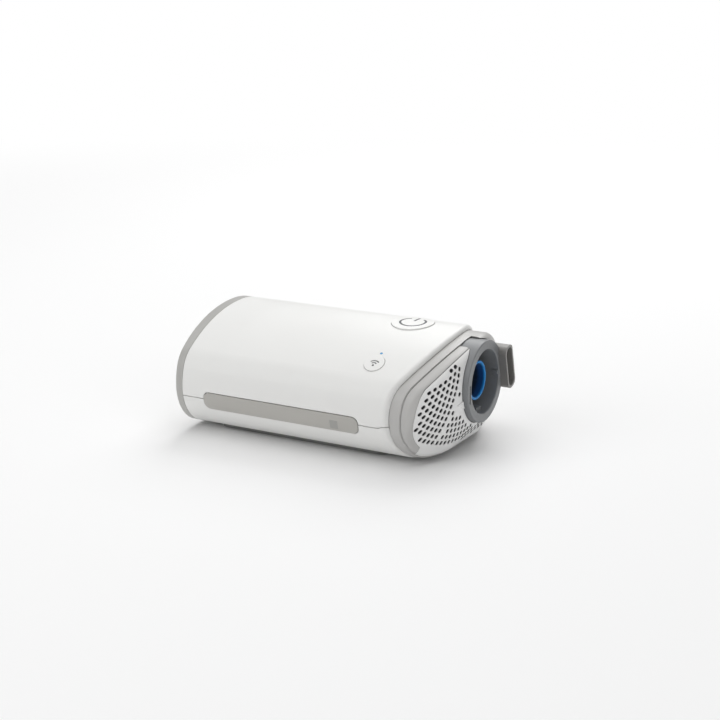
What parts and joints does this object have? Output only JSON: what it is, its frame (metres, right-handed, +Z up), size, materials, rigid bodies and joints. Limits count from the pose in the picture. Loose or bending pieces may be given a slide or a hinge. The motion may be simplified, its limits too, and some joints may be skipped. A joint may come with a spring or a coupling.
{
  "type": "travel breathing therapy unit",
  "caption": "Compact bedside breathing therapy unit: rounded casing, push buttons, air outlet socket with latch, perforated pull-off filter cover, blower inside.",
  "frame": {"origin": "under the middle of the body, on the surface it stands on", "axes": "+X along the body towards the air outlet, +Y towards the back, +Z up"},
  "size_m": [0.136, 0.084, 0.0525],
  "materials": {
    "casing_white": "fine spark-eroded satin, moulded ABS blend",
    "cap_grey": "fine satin, moulded ABS blend",
    "frame_grey": "fine satin, moulded ABS blend",
    "cover_grey": "fine satin, moulded ABS blend",
    "grille_white": "fine satin, moulded ABS blend",
    "filter_felt": "pressed polyester felt",
    "outlet_grey": "fine satin, moulded ABS blend",
    "latch_grey": "fine satin, moulded ABS blend",
    "seal_blue": "moulded silicone, slight sheen",
    "button_white": "fine satin, moulded ABS blend",
    "symbol_grey": "pad-printed ink, matte",
    "light_lens": "clear moulded lens, tinted",
    "strip_grey": "soft satin overmould",
    "mark_grey": "satin, slightly darker than the strip",
    "pad_rubber": "soft-touch thermoplastic rubber",
    "foot_rubber": "matte rubber",
    "screw_steel": "zinc-plated steel",
    "inlet_black": "moulded nylon",
    "contact_brass": "nickel-plated brass",
    "chassis_grey": "moulded, uncoated",
    "board_green": "solder-masked glass epoxy",
    "component_black": "moulded epoxy",
    "switch_black": "moulded nylon",
    "sensor_white": "moulded, ported",
    "blower_black": "glass-filled nylon",
    "stator_steel": "laminated electrical steel",
    "magnet_grey": "nickel-plated magnet",
    "shaft_steel": "ground steel",
    "impeller_plastic": "moulded polymer",
    "mount_rubber": "soft silicone",
    "foam_grey": "open-cell acoustic foam",
    "duct_rubber": "moulded silicone"
  },
  "bodies": {
    "unit": {"upper_casing": "casing_white", "lower_casing": "casing_white", "left_end_cap": "cap_grey", "outlet_end_frame": "frame_grey", "air_filter": "filter_felt", "outlet_connector": "outlet_grey", "latch_socket": "latch_grey", "outlet_seal": "seal_blue", "status_light": "light_lens", "side_strip": "strip_grey", "strip_mark": "mark_grey", "base_pad": "pad_rubber", "rubber_feet": "foot_rubber", "casing_screws": "screw_steel", "power_inlet": "inlet_black", "inlet_contact": "contact_brass", "chassis": "chassis_grey", "main_board": "board_green", "board_components": "component_black", "board_screws": "screw_steel", "start_switch": "switch_black", "button_board": "board_green", "pairing_switch": "switch_black", "pressure_sensor": "sensor_white", "blower_lower_housing": "blower_black", "blower_upper_housing": "blower_black", "motor_stator": "stator_steel", "motor_bearings": "shaft_steel", "blower_mounts": "mount_rubber", "muffler_foam": "foam_grey", "outlet_duct": "duct_rubber"},
    "start_button": {"start_button": "button_white", "start_symbol": "symbol_grey"},
    "pairing_button": {"pairing_button": "button_white", "pairing_symbol": "symbol_grey"},
    "filter_cover": {"filter_cover_rim": "cover_grey", "filter_grille": "grille_white"},
    "rotor": {"impeller": "impeller_plastic", "motor_shaft": "shaft_steel", "motor_rotor": "magnet_grey"}
  },
  "joints": [
    {"name": "start_press", "type": "slide", "parent": "unit", "child": "start_button", "axis": [0, 0.0504, -0.9987], "range_m": [0, 0.0008], "stiffness_N_per_m": 1200},
    {"name": "pairing_press", "type": "slide", "parent": "unit", "child": "pairing_button", "axis": [0, 0.5095, -0.8605], "range_m": [0, 0.0005], "stiffness_N_per_m": 1000},
    {"name": "filter_cover_pull", "type": "slide", "parent": "unit", "child": "filter_cover", "axis": [1, 0, 0], "range_m": [0, 0.015]},
    {"name": "impeller_spin", "type": "hinge", "parent": "unit", "child": "rotor", "pos_m": [-0.014, -0.011, 0.028], "axis": [0, 0, 1], "continuous": true}
  ]
}
